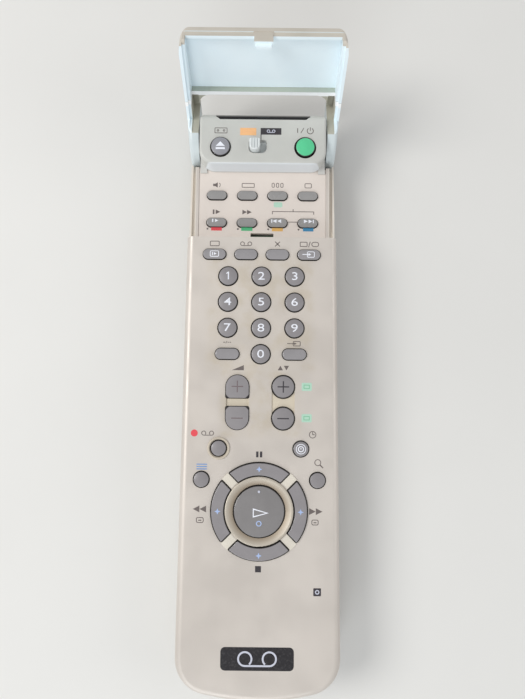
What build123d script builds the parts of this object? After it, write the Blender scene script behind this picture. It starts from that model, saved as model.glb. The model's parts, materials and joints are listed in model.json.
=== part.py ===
from build123d import *
import os
from math import asin, cos, degrees, radians, sin, sqrt

# A hand-held infrared remote control for a video recorder, lying on its back.
# X points right, Y from the tail towards the head, Z up through the keys. The origin is on
# the flat back, near the middle of the body. The flip-up hood stands open at rest. All in mm.

# ---- driving dimensions ------------------------------------------------------------------
TAIL_REACH = 102.4        # from the origin to the tail, and to the nose
NOSE_REACH = 102.4
THICKNESS = 24.0          # back to top face
HALF_HEAD = 26.5          # half the width beside the deck and the head
HALF_TAIL = 28.05         # half the width at the tail
WALL = 1.8                # moulded wall
FLOOR = 2.0               # back wall
EDGE_R = 2.3              # rounding of the top edges
BACK_R = 5.0              # rounding of the back edges
TAIL_ARC_R = 83.0         # shallow arc across the tail
TAIL_CORNER_R = 11.8      # rounding of the tail corners

MAIN_EDGE_Y = 55.8        # where the main cover ends and the recessed deck starts
DECK_DEPTH = 6.46         # deck below the top face
DECK_PLATE_T = 1.5
DECK_HALF = 23.25         # half width of the deck plate
GROOVE_IN = 24.5          # rail groove, inner and outer face
GROOVE_OUT = 25.8
RIDGE_IN = 23.3           # inner face of the rails

HEAD_HALF = 22.85         # half width of the head between the hood's cheeks
HEAD_FRONT_Y = 82.8       # top front edge of the head
HEAD_FOOT_Y = 81.7        # foot of its sloped front wall
HEAD_TOP_END_Y = 98.9     # where the top face turns down to the nose
HEAD_CORNER_R = 5.0

PIVOT_Y = 95.8            # hood pivot axis, along X
PIVOT_DEPTH = 11.1        # below the top face
PEG_R = 2.0
PEG_CLEARANCE = 0.05
CHEEK_R = 10.1            # round end of the hood's arms
HOOD_HALF = 27.8
HOOD_SKIN = 1.8
HOOD_FAR_Y = 56.1         # free edge, closed
HOOD_RIM_FAR = 6.95       # depth of the side walls at the free edge
HOOD_RIM_NEAR = 10.05     # and where they meet the round end
HOOD_END_DEPTH = 3.8      # depth of the wall across the free edge
HOOD_END_STEP = 0.45      # how far that wall's lower part is set back
HOOD_OPEN_DEG = 109.1     # opening angle from closed
ARM_IN = 23.3             # inner face of the arms
SIDE_IN = 25.65           # inner face of the side walls
SKIRT_IN = 26.65          # skirt that hangs outside the rails' lip
LEDGE_STEP = 0.9          # the ledge inside the skirt is this much shallower
RIB_DEPTH = 4.05

GAP = 0.25                # clearance round a key in its hole
CAP_RISE = 0.9            # key top above the face it comes through
PLAY_RISE = 1.2           # the large play key stands a little higher
KEY_EDGE_R = 0.45         # rounding of a key's top edge
FLANGE_OUT = 0.85         # flange that keeps a key in
FLANGE_T = 0.7
FLANGE_PLAY = 0.2
KEY_ROOM = 1.1            # free height under a flange
MAT_T = 1.0
BOARD_T = 1.2

DIGIT_R = 3.35
DIGIT_PITCH_X = 11.7
DIGIT_PITCH_Y = 9.15
DIGIT_TOP_Y = 41.6
PILL_PITCH = 11.1
PILL_ROW_Y = 49.4
PILL_SIZE = (8.0, 3.65)
WIDE_PILL_SIZE = (8.3, 3.85)
DECK_PILL_SIZE = (7.15, 3.3)
DECK_ROWS_Y = (72.9, 62.7)
PAIR_X = 7.95             # volume and programme keys
PAIR_PLUS_Y = 2.85
PAIR_MINUS_Y = -8.05
PAIR_R = 3.95
SMALL_R = 2.7
RECORD_AT = (-14.15, -18.4)
TIMER_AT = (14.15, -18.4)
MENU_AT = (-19.9, -29.0)
SEARCH_AT = (19.9, -29.0)
RING_Y = -39.6
RING_OUT_R = 16.5
RING_IN_R = 12.0
PLAY_R = 8.75
SPOKE_W = 2.9
BEAD_RISE = 0.7
HEAD_KEY_Y = 88.6
EJECT_X = -15.2
POWER_X = 15.2
EJECT_R = 3.45
EJECT_HOLE_R = 3.75
POWER_R = 3.45
POWER_HOLE_R = 3.95
SLOT_AT = (-1.85, 88.9)   # slot of the slide switch
SLOT_SIZE = (6.4, 4.9)
LEVER_SIZE = (3.9, 4.4)
LEVER_RISE = 2.8
SWITCH_TRAVEL = 2.1

CELL_R = 7.1              # AA cells
CELL_LENGTH = 49.0
CELL_NUB = 1.3
CELL_X = 7.6
CELL_PLAY = 0.3
LEAF_BOW = 1.83           # how far a contact's leaf bows towards its cell
SHEET_T = 0.3             # contact sheet
BAY_TAIL_Y = -99.0
BAY_WALL = 1.1
COVER_HALF = 15.8         # battery cover
COVER_T = 1.8
SLIDE_GAP = 0.2

SCREW_SPOTS = ((-20.3, 37.0), (20.3, 37.0), (-20.3, -41.5), (20.3, -41.5))
SCREW_R = 1.1
SCREW_HEAD_R = 2.0
SCREW_HEAD_T = 1.4
SCREW_SINK = 0.8          # screw heads below the back face
BOSS_R = 2.3              # bosses under the main cover
POST_R = 3.0              # posts on the back wall, which carry the board
BOARD_HALF = 21.6

# ---- worked-out places -------------------------------------------------------------------
TOP = THICKNESS
TAIL_Y = -TAIL_REACH
NOSE_Y = NOSE_REACH
DECK_Z = TOP - DECK_DEPTH
PIVOT_Z = TOP - PIVOT_DEPTH
PARTING_Z = PIVOT_Z       # the halves meet on the pivot axis and trap the hood's pegs
COVER_IN_Z = TOP - WALL
FLANGE_Z = COVER_IN_Z - FLANGE_PLAY - FLANGE_T
MAT_TOP_Z = FLANGE_Z - KEY_ROOM
BOARD_Z = MAT_TOP_Z - MAT_T - BOARD_T
DECK_UNDER_Z = DECK_Z - DECK_PLATE_T
DECK_FLANGE_Z = DECK_UNDER_Z - FLANGE_PLAY - FLANGE_T
DECK_MAT_TOP_Z = DECK_FLANGE_Z - KEY_ROOM
DECK_BOARD_Z = DECK_MAT_TOP_Z - MAT_T - BOARD_T
CELL_Z = FLOOR + 0.4 + CELL_R
BAY_HALF = CELL_X + CELL_R + CELL_PLAY
BAY_FRONT_Y = BAY_TAIL_Y + 2 * SHEET_T + LEAF_BOW + 0.02 + CELL_LENGTH + CELL_NUB
COVER_FRONT_Y = BAY_FRONT_Y + BAY_WALL / 2
PIVOT = Axis((0, PIVOT_Y, PIVOT_Z), (1, 0, 0))


def half_width(y):
    """Half the body's width at y: the sides taper up to the deck, then run parallel."""
    share = min(1, (y - TAIL_Y) / (MAIN_EDGE_Y - TAIL_Y))
    return HALF_TAIL + (HALF_HEAD - HALF_TAIL) * share


def block(x0, x1, y0, y1, z0, z1):
    """A box between two corners."""
    centre = ((x0 + x1) / 2, (y0 + y1) / 2, (z0 + z1) / 2)
    return Pos(*centre) * Box(x1 - x0, y1 - y0, z1 - z0)


def both_sides(x0, x1, y0, y1, z0, z1):
    """The same box on the left and on the right."""
    return block(x0, x1, y0, y1, z0, z1) + block(-x1, -x0, y0, y1, z0, z1)


def side_slab(face, x0, x1):
    """Extrude a side-view face from x0 to x1."""
    return Pos(x0, 0, 0) * extrude(face, x1 - x0)


def side_face(*points):
    """A side-view polygon of (y, z) points, on the plane X = 0."""
    return Plane.YZ * make_face(Polyline(*points, close=True))


def plan_outline(head_y, inset=0.0):
    """The body seen from above, from the tail up to head_y, set in by a wall thickness."""
    wide = half_width(TAIL_Y) - inset
    radius = TAIL_ARC_R - inset
    arc_mid = TAIL_Y + inset
    arc_end = arc_mid + radius - sqrt(radius**2 - wide**2)
    narrow = half_width(head_y) - inset
    head = head_y - inset
    side = [(narrow, head), (wide, arc_end)]
    if head > MAIN_EDGE_Y:
        side.insert(1, (narrow, MAIN_EDGE_Y))
    right = Polyline(*side)
    tail = ThreePointArc((wide, arc_end), (0, arc_mid), (-wide, arc_end))
    left = Polyline(*[(-x, y) for x, y in reversed(side)])
    front = Line((-narrow, head), (narrow, head))
    outline = make_face(right + tail + left + front)
    corners = outline.vertices().sort_by(Axis.Y)[:2]
    return fillet(corners, TAIL_CORNER_R - inset)


def cheek_recess(clearance):
    """Room in the body's sides for the round ends of the hood's arms."""
    radius = CHEEK_R + clearance
    disc = Pos(0, PIVOT_Y, PIVOT_Z) * Rot(0, 90, 0) * Cylinder(radius, 80)
    rear = block(-40, 40, PIVOT_Y - radius / 2, NOSE_Y + 20, -1, TOP + 1)
    keep = block(-HEAD_HALF, HEAD_HALF, 0, NOSE_Y + 30, -2, TOP + 2)
    return disc + rear - keep


# ---- key outlines ------------------------------------------------------------------------
def d_outline(radius, up):
    """A key with one round end and one flat end."""
    turn = 1 if up else -1
    body = Pos(0, -turn * radius / 2) * Rectangle(2 * radius, radius)
    shape = Circle(radius) + body
    flat = shape.vertices().sort_by(Axis.Y)
    flat = flat[:2] if up else flat[-2:]
    return fillet(flat, 0.5)


def ring_sector(turn):
    """One of the four keys of the ring, between parallel-sided spokes."""
    ring = Circle(RING_OUT_R) - Circle(RING_IN_R)
    spoke = Rectangle(4 * RING_OUT_R, SPOKE_W + 2 * GAP)
    quarters = ring - Rot(0, 0, 45) * spoke - Rot(0, 0, -45) * spoke
    quarters = fillet(quarters.vertices(), 0.45)
    top = Sketch() + quarters.faces().sort_by(Axis.Y)[-1]
    return Rot(0, 0, turn) * top


# name: (outline, x, y) of every key that comes through the main cover
MAIN_KEYS = {}
for column, name in enumerate(("display_key", "speed_key", "clear_key", "input_key")):
    x = (column - 1.5) * PILL_PITCH
    MAIN_KEYS[name] = (SlotOverall(*PILL_SIZE), x, PILL_ROW_Y)
for digit in range(1, 10):
    row, column = divmod(digit - 1, 3)
    x = (column - 1) * DIGIT_PITCH_X
    y = DIGIT_TOP_Y - row * DIGIT_PITCH_Y
    MAIN_KEYS[f"digit_{digit}_key"] = (Circle(DIGIT_R), x, y)
LAST_ROW_Y = DIGIT_TOP_Y - 3 * DIGIT_PITCH_Y
MAIN_KEYS["digit_0_key"] = (Circle(DIGIT_R), 0, LAST_ROW_Y)
MAIN_KEYS["dash_key"] = (SlotOverall(*WIDE_PILL_SIZE), -DIGIT_PITCH_X, LAST_ROW_Y)
MAIN_KEYS["select_key"] = (SlotOverall(*WIDE_PILL_SIZE), DIGIT_PITCH_X, LAST_ROW_Y)
MAIN_KEYS["volume_up_key"] = (d_outline(PAIR_R, True), -PAIR_X, PAIR_PLUS_Y)
MAIN_KEYS["volume_down_key"] = (d_outline(PAIR_R, False), -PAIR_X, PAIR_MINUS_Y)
MAIN_KEYS["programme_up_key"] = (Circle(PAIR_R), PAIR_X, PAIR_PLUS_Y)
MAIN_KEYS["programme_down_key"] = (Circle(PAIR_R), PAIR_X, PAIR_MINUS_Y)
MAIN_KEYS["record_key"] = (Circle(SMALL_R), *RECORD_AT)
MAIN_KEYS["timer_key"] = (Circle(SMALL_R), *TIMER_AT)
MAIN_KEYS["menu_key"] = (Circle(SMALL_R), *MENU_AT)
MAIN_KEYS["search_key"] = (Circle(SMALL_R), *SEARCH_AT)
MAIN_KEYS["play_key"] = (Circle(PLAY_R), 0, RING_Y)
RING_KEYS = ("pause_key", "rewind_key", "stop_key", "forward_key")
for turn, name in enumerate(RING_KEYS):
    MAIN_KEYS[name] = (ring_sector(90 * turn), 0, RING_Y)

DECK_KEYS = {}
for row, y in enumerate(DECK_ROWS_Y):
    for column in range(4):
        x = (column - 1.5) * PILL_PITCH
        DECK_KEYS[f"deck_key_{4 * row + column + 1}"] = (SlotOverall(*DECK_PILL_SIZE), x, y)


def crown(outline):
    """Shape that domes a key's top: a roller along X for pills, a shallow ball for the rest."""
    size = outline.bounding_box().size
    if size.X > 1.6 * size.Y:
        radius = 1.7 * size.Y
        return Pos(0, 0, -radius) * Rot(0, 90, 0) * Cylinder(radius, 2 * size.X)
    radius = 3.6 * size.X
    return Pos(0, 0, -radius) * Sphere(radius)


def round_cap(radius, height):
    """A round cap turned about its axis: domed top, rounded edge."""
    sag = 0.3 + 0.03 * radius
    ball = (radius**2 + sag**2) / (2 * sag)
    side = Pos(radius / 2, height / 2 + 1) * Rectangle(radius, height + 2)
    side = side & (Pos(0, height - ball) * Circle(ball))
    edge = side.vertices().group_by(Axis.X)[-1].sort_by(Axis.Y)[-1]
    return revolve(Plane.XZ * fillet(edge, KEY_EDGE_R), Axis.Z)


def key_solid(outline, flange_z, face_z, rise=CAP_RISE, domed=True):
    """A key cap with its flange; the top is slightly domed and its edge rounded."""
    height = face_z + rise - flange_z
    flange = Pos(0, 0, flange_z) * extrude(offset(outline, FLANGE_OUT), FLANGE_T)
    if isinstance(outline, Circle):
        return Pos(0, 0, flange_z) * round_cap(outline.radius, height) + flange
    cap = Pos(0, 0, flange_z) * extrude(outline, height)
    cap = fillet(cap.edges().group_by(Axis.Z)[-1], KEY_EDGE_R)
    if domed:
        cap = cap & (Pos(0, 0, face_z + rise) * crown(outline))
    return cap + flange


def key_hole(outline, bottom, height):
    """The hole that a key comes through."""
    return Pos(0, 0, bottom) * extrude(offset(outline, GAP), height)


# ---- casings -----------------------------------------------------------------------------
def rim_depth(y):
    """Depth of the closed hood's rim below the top face, at y."""
    near_y = PIVOT_Y - sqrt(CHEEK_R**2 - (PIVOT_DEPTH - HOOD_RIM_NEAR)**2)
    share = (y - HOOD_FAR_Y) / (near_y - HOOD_FAR_Y)
    return HOOD_RIM_FAR + (HOOD_RIM_NEAR - HOOD_RIM_FAR) * share


def rail_profile(drop):
    """Side view of one strip of the rails, its top a set drop below the hood's rim line."""
    start = MAIN_EDGE_Y - WALL
    end = PIVOT_Y - 6
    return side_face(
        (start, PARTING_Z),
        (end, PARTING_Z),
        (end, TOP - rim_depth(end) - drop),
        (start, TOP - rim_depth(start) - drop),
    )


def deck_rails():
    """Side walls of the deck: a ridge, a drip groove and the lip that the hood's rim lies on."""
    lip = rail_profile(0.2 - LEDGE_STEP)
    groove = rail_profile(0.45)
    ridge_end = PIVOT_Y - 12.3
    ridge = side_face(
        (MAIN_EDGE_Y - WALL, PARTING_Z),
        (ridge_end, PARTING_Z),
        (ridge_end, DECK_Z + 0.25),
        (MAIN_EDGE_Y - WALL, DECK_Z + 0.25),
    )
    right = side_slab(ridge, RIDGE_IN, GROOVE_IN)
    right += side_slab(groove, GROOVE_IN, GROOVE_OUT)
    right += side_slab(lip, GROOVE_OUT, HOOD_HALF + 2)
    shelf_y0 = MAIN_EDGE_Y - WALL
    right += block(RIDGE_IN - 1.5, RIDGE_IN, shelf_y0, HEAD_FOOT_Y - 1, DECK_UNDER_Z - 1.5, DECK_UNDER_Z)
    rails = right + mirror(right, about=Plane.YZ)
    sides = extrude(plan_outline(PIVOT_Y), TOP)
    return (rails & sides) - cheek_recess(0.6)


def ring_base():
    """Raised bead dished towards the play key, with four low spokes out to the ring's edge."""
    inner = PLAY_R + GAP
    outer = RING_IN_R - GAP
    bead = Plane.XZ * make_face(Polyline(
        (inner, 0), (inner, 0.08), (outer - 0.7, BEAD_RISE), (outer, BEAD_RISE), (outer, 0), close=True))
    bead = revolve(bead, Axis.Z)
    bead = fillet(bead.edges().group_by(Axis.Z)[-1], 0.3)
    spokes = Rot(0, 0, 45) * Rectangle(4 * RING_OUT_R, SPOKE_W)
    spokes += Rot(0, 0, -45) * Rectangle(4 * RING_OUT_R, SPOKE_W)
    spokes = spokes & (Circle(RING_OUT_R + GAP) - Circle(RING_IN_R - GAP - 0.5))
    return Pos(0, RING_Y, TOP) * (bead + extrude(spokes, BEAD_RISE * 0.4))


def record_guard():
    """Low raised ring that keeps a finger off the record key."""
    ring = Circle(SMALL_R + 1.15) - Circle(SMALL_R + 0.45)
    ring = extrude(ring, 0.45)
    ring = fillet(ring.edges().group_by(Axis.Z)[-1], 0.2)
    return Pos(*RECORD_AT, TOP) * ring


def pair_recess():
    """Sunken bridges between the two volume keys and between the two programme keys."""
    middle = (PAIR_PLUS_Y + PAIR_MINUS_Y) / 2
    gap = PAIR_PLUS_Y - PAIR_MINUS_Y - 2 * PAIR_R
    volume = block(-PAIR_X - PAIR_R, -PAIR_X + PAIR_R, middle - gap / 2, middle + gap / 2, TOP - 0.6, TOP + 1)
    reach = gap / 2 + PAIR_R
    channel = block(PAIR_X - PAIR_R, PAIR_X + PAIR_R, middle - reach, middle + reach, TOP - 0.4, TOP + 1)
    return volume + channel


def make_upper_case():
    """Main cover with its key holes, and the rails beside the deck."""
    shell = extrude(plan_outline(MAIN_EDGE_Y), TOP - PARTING_Z)
    top_edges = shell.edges().group_by(Axis.Z)[-1]
    front_edge = top_edges.sort_by(Axis.Y)[-1]
    shell = fillet([edge for edge in top_edges if edge != front_edge], EDGE_R)
    inside = extrude(plan_outline(MAIN_EDGE_Y, WALL), TOP - WALL - PARTING_Z)
    case = Pos(0, 0, PARTING_Z) * (shell - inside)
    case += deck_rails()
    for x, y in SCREW_SPOTS:
        boss = Circle(BOSS_R) - Circle(SCREW_R)
        case += Pos(x, y, BOARD_Z) * extrude(boss, COVER_IN_Z + 0.1 - BOARD_Z)
    case += ring_base()
    case += record_guard()
    case -= pair_recess()
    for outline, x, y in MAIN_KEYS.values():
        case -= Pos(x, y) * key_hole(outline, COVER_IN_Z - 1, WALL + 3)
    link_window = block(-7, 7, MAIN_EDGE_Y - 3, MAIN_EDGE_Y + 1, PARTING_Z - 1, PARTING_Z + 1.6)
    return case - link_window


def make_deck_plate():
    """Recessed plate with eight key holes and the slot for the hood's latch."""
    plate = block(-DECK_HALF, DECK_HALF, MAIN_EDGE_Y + 0.05, HEAD_FOOT_Y + 1.2, DECK_UNDER_Z, DECK_Z)
    plate -= block(-4.2, 4.2, MAIN_EDGE_Y + 0.25, MAIN_EDGE_Y + 3.1, DECK_UNDER_Z - 1, DECK_Z + 1)
    for outline, x, y in DECK_KEYS.values():
        plate -= Pos(x, y) * key_hole(outline, DECK_UNDER_Z - 1, DECK_PLATE_T + 2)
    return plate


def head_plan(front_y, corner_r):
    """Plan of the head: round front corners, straight sides."""
    length = NOSE_Y - front_y
    shape = Pos(0, front_y + length / 2) * Rectangle(2 * HEAD_HALF, length)
    return fillet(shape.vertices().group_by(Axis.Y)[0], corner_r)


def nose_corners():
    """Plan and back view that round the nose's corners and the neck's back edges."""
    length = 40.0
    plan = Pos(0, NOSE_Y - length / 2) * Rectangle(2 * HEAD_HALF, length)
    plan = extrude(fillet(plan.vertices().group_by(Axis.Y)[-1], 4.5), TOP)
    back = Pos(0, TOP / 2) * Rectangle(2 * HEAD_HALF, TOP)
    back = fillet(back.vertices().group_by(Axis.Y)[0], 3.4)
    return plan & (Pos(0, NOSE_Y, 0) * extrude(Plane.XZ * back, length))


def nose_profile():
    """Side view of the head's nose: the top face rolls down in a quarter ellipse."""
    drop = 6.5
    reach = NOSE_Y - HEAD_TOP_END_Y
    under = 4.0
    roll = EllipticalCenterArc((HEAD_TOP_END_Y, TOP - drop), reach, drop, 0, arc_size=90)
    top = Line((HEAD_TOP_END_Y, TOP), (0, TOP))
    back = Line((0, TOP), (0, 0))
    bottom = Line((0, 0), (NOSE_Y - under, 0))
    tuck = TangentArc((NOSE_Y - under, 0), (NOSE_Y, under), tangent=(1, 0))
    front = Line((NOSE_Y, under), (NOSE_Y, TOP - drop))
    return Plane.YZ * make_face(roll + top + back + bottom + tuck + front)


def peg_bore():
    """Bore on the pivot axis; the case halves share it."""
    return Pos(0, PIVOT_Y, PIVOT_Z) * Rot(0, 90, 0) * Cylinder(PEG_R + PEG_CLEARANCE, 2 * HEAD_HALF + 2)


def window_opening():
    """Opening in the nose for the infrared window, with slanted ends."""
    wide = 17.1
    narrow = 15.5
    front = HEAD_TOP_END_Y
    slant_end = front + 1.3
    plan = make_face(Polyline(
        (-narrow, front), (narrow, front), (wide, slant_end),
        (wide, NOSE_Y + 1), (-wide, NOSE_Y + 1), (-wide, slant_end), close=True))
    return Pos(0, 0, 8.5) * extrude(plan, TOP)


def switch_slot():
    """Plan of the slide switch's slot; its corners follow the lever's."""
    slot = Rectangle(*SLOT_SIZE)
    slot = fillet(slot.vertices().group_by(Axis.Y)[0], 1.9)
    return fillet(slot.vertices().group_by(Axis.Y)[-1], 1.0)


def make_head_cover():
    """Raised head between the hood's arms, with its holes and the notch for the window."""
    foot = Pos(0, 0, DECK_Z) * head_plan(HEAD_FOOT_Y, HEAD_CORNER_R + 0.6)
    top = Pos(0, 0, TOP) * head_plan(HEAD_FRONT_Y, HEAD_CORNER_R)
    head = loft([foot, top])
    rim = head.edges().group_by(Axis.Z)[-1].sort_by(Axis.Y)[:-1]
    head = fillet(rim, 1.0)
    head += block(-HEAD_HALF, HEAD_HALF, HEAD_FOOT_Y + 3, NOSE_Y, PARTING_Z, DECK_Z)
    head += both_sides(20.4, HEAD_HALF, HEAD_FOOT_Y - 0.5, HEAD_FOOT_Y + 6, DECK_Z, DECK_Z + 0.6)
    head = head & side_slab(nose_profile(), -40, 40) & nose_corners()
    inner = HEAD_HALF - 1.6
    head -= block(-inner, inner, HEAD_FRONT_Y + 1.1, HEAD_TOP_END_Y - 0.6, PARTING_Z - 1, COVER_IN_Z)
    head -= block(-inner, inner, HEAD_TOP_END_Y - 1, NOSE_Y - 1.8, PARTING_Z - 1, TOP - 5.8)
    head -= Pos(EJECT_X, HEAD_KEY_Y, COVER_IN_Z - 1) * extrude(Circle(EJECT_HOLE_R), 4)
    head -= Pos(POWER_X, HEAD_KEY_Y, COVER_IN_Z - 1) * extrude(Circle(POWER_HOLE_R), 4)
    head -= Pos(*SLOT_AT, COVER_IN_Z - 1) * extrude(switch_slot(), 4)
    return head - window_opening() - peg_bore()


def make_ir_window():
    """Dark curved window that fills the notch in the nose."""
    sink = 0.35
    thick = 1.7
    outer = side_slab(nose_profile(), -20, 20)
    outer = outer & block(-20, 20, 90, NOSE_Y - sink, 0, TOP - sink)
    hollow = block(-20, 20, 80, NOSE_Y - sink - thick, 0, TOP - 6)
    hollow += block(-20, 20, 80, HEAD_TOP_END_Y + 1.5, 0, TOP - sink - thick)
    return (outer - hollow) & window_opening()


def make_lower_case():
    """Back half: flat back, battery bay with its slide rails, screw posts."""
    body = extrude(plan_outline(PIVOT_Y - 4), PARTING_Z)
    back_edges = body.edges().group_by(Axis.Z)[0]
    front_edge = back_edges.sort_by(Axis.Y)[-1]
    body = fillet([edge for edge in back_edges if edge != front_edge], BACK_R)
    body -= cheek_recess(0.6)
    neck = block(-HEAD_HALF, HEAD_HALF, PIVOT_Y - 12, NOSE_Y, 0, PARTING_Z)
    body += neck & side_slab(nose_profile(), -40, 40) & nose_corners()
    inside = Pos(0, 0, FLOOR) * extrude(plan_outline(PIVOT_Y - 10, WALL), PARTING_Z)
    inner = HEAD_HALF - 1.6
    inside += block(-inner, inner, PIVOT_Y - 14, NOSE_Y - 1.8, FLOOR, TOP)
    body -= inside
    body -= peg_bore()
    body -= window_opening()
    body += bay_walls()
    body -= cover_opening()
    for x, y in SCREW_SPOTS:
        body += Pos(x, y, 1) * extrude(Circle(POST_R), BOARD_Z - 1)
        body -= Pos(x, y, 0) * extrude(Circle(SCREW_R), BOARD_Z)
        body -= Pos(x, y, 0) * extrude(Circle(SCREW_HEAD_R + 0.15), SCREW_SINK + SCREW_HEAD_T)
    for y in (60.0, 78.0):
        body += both_sides(16.5, 18.5, y, y + 2, 1, DECK_BOARD_Z)
    return body


def cradle(radius, half, y0, y1, z0):
    """Space round the two cells: half-round above their axes, straight-sided below."""
    turned = Rot(90, 0, 0) * Cylinder(radius, y1 - y0)
    rounds = [Pos(x, (y0 + y1) / 2, CELL_Z) * turned for x in (-CELL_X, CELL_X)]
    middle = block(-CELL_X, CELL_X, y0, y1, CELL_Z, CELL_Z + 2.6)
    return block(-half, half, y0, y1, z0, CELL_Z) + middle + rounds


def bay_walls():
    """Half-round battery cradles and the thickened rails that hold the sliding cover."""
    inner = CELL_R + CELL_PLAY
    walls = cradle(inner + BAY_WALL, BAY_HALF + BAY_WALL, BAY_TAIL_Y - BAY_WALL, BAY_FRONT_Y + BAY_WALL, 1.0)
    walls = walls & extrude(plan_outline(MAIN_EDGE_Y, WALL + 0.2), TOP)
    walls += both_sides(BAY_HALF, COVER_HALF + 2.8, BAY_TAIL_Y - 1, COVER_FRONT_Y + 2.5, 0.6, 3.6)
    return walls - cradle(inner, BAY_HALF, BAY_TAIL_Y, BAY_FRONT_Y, 0)


def cover_opening():
    """Opening in the back and the tail for the battery cover, with its side grooves."""
    half = COVER_HALF + SLIDE_GAP
    front = COVER_FRONT_Y + SLIDE_GAP
    opening = block(-half, half, TAIL_Y - 5, front, -1, COVER_T + 0.15)
    opening += block(-BAY_HALF, BAY_HALF, BAY_TAIL_Y, BAY_FRONT_Y, 0, FLOOR + 1)
    opening += block(-half, half, TAIL_Y - 5, TAIL_Y + 2.6, -1, 6.4)
    opening += block(-half - 0.8, half + 0.8, TAIL_Y - 5, front, 0.7, COVER_T + 0.15)
    return opening


def make_battery_cover():
    """Sliding cover: a flat panel with side tongues, a tail lip and finger grooves."""
    shape = extrude(plan_outline(MAIN_EDGE_Y), PARTING_Z)
    back_edges = shape.edges().group_by(Axis.Z)[0]
    front_edge = back_edges.sort_by(Axis.Y)[-1]
    shape = fillet([edge for edge in back_edges if edge != front_edge], BACK_R)
    panel = block(-COVER_HALF, COVER_HALF, TAIL_Y - 1, COVER_FRONT_Y, 0, COVER_T)
    panel += block(-COVER_HALF, COVER_HALF, TAIL_Y - 1, TAIL_Y + 2.3, 0, 6.2)
    panel += block(-COVER_HALF - 0.8, COVER_HALF + 0.8, TAIL_Y - 1, COVER_FRONT_Y, 0.9, COVER_T)
    cover = panel & shape
    for step in range(6):
        y = COVER_FRONT_Y - 5 - 2.2 * step
        cover -= block(-7, 7, y - 0.5, y + 0.5, -1, 0.45)
    return cover


# ---- hood --------------------------------------------------------------------------------
def hood_profile():
    """Side view of the closed hood's arm: flat band, round end about the pivot."""
    flat_end = PIVOT_Y - 4.8
    reach = PIVOT_Y + CHEEK_R - flat_end
    near_y = PIVOT_Y - sqrt(CHEEK_R**2 - (PIVOT_DEPTH - HOOD_RIM_NEAR)**2)
    near_z = TOP - HOOD_RIM_NEAR
    chamfer_y = HOOD_FAR_Y + 2.0
    top = Line((HOOD_FAR_Y, TOP), (flat_end, TOP))
    roll = EllipticalCenterArc((flat_end, PIVOT_Z), reach, PIVOT_DEPTH, 0, arc_size=90)
    under = ThreePointArc((PIVOT_Y + CHEEK_R, PIVOT_Z), (PIVOT_Y, PIVOT_Z - CHEEK_R), (near_y, near_z))
    rim = Line((near_y, near_z), (chamfer_y, TOP - rim_depth(chamfer_y)))
    chamfer = Line((chamfer_y, TOP - rim_depth(chamfer_y)), (HOOD_FAR_Y, TOP - 5.0))
    end = Line((HOOD_FAR_Y, TOP - 5.0), (HOOD_FAR_Y, TOP))
    face = make_face(top + roll + under + rim + chamfer + end)
    arris = face.vertices().group_by(Axis.X)[0].sort_by(Axis.Y)[-1]
    return Plane.YZ * fillet(arris, 0.8)


def hood_envelope():
    """Front view and plan: sides that draw in at the top and at the cheeks, round corners."""
    half = [(HOOD_HALF - 1.35, 1), (HOOD_HALF, TOP - 7.4), (HOOD_HALF - 1.1, TOP)]
    section = make_face(Polyline(*half, *[(-x, z) for x, z in reversed(half)], close=True))
    section = fillet(section.vertices().group_by(Axis.Y)[-1], 5.0)
    along = Pos(0, 130, 0) * extrude(Plane.XZ * section, 100)
    half = [(HOOD_HALF, 120), (HOOD_HALF, HOOD_FAR_Y + 4.5), (HOOD_HALF - 0.6, HOOD_FAR_Y)]
    plan = make_face(Polyline(*half, *[(-x, y) for x, y in reversed(half)], close=True))
    plan = fillet(plan.vertices().group_by(Axis.Y)[0], 2.5)
    return along & (Pos(0, 0, -20) * extrude(plan, 60))


def hood_cutout():
    """Slanted cut-out that hugs the head's front and keeps clear of it as the hood swings."""
    slant_top = 82.4
    slant_low = 80.45
    rear = 112.0
    low_z = TOP - RIB_DEPTH
    rise = 0.6

    def plan(front):
        shape = Pos(0, (front + rear) / 2) * Rectangle(2 * ARM_IN, rear - front)
        return fillet(shape.vertices().group_by(Axis.Y)[0], 4.3)

    lean = (slant_top - slant_low) / RIB_DEPTH
    upper = loft([Pos(0, 0, low_z) * plan(slant_low), Pos(0, 0, TOP + rise) * plan(slant_top + lean * rise)])
    return upper + Pos(0, 0, -10) * extrude(plan(slant_low), low_z + 10)


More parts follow.
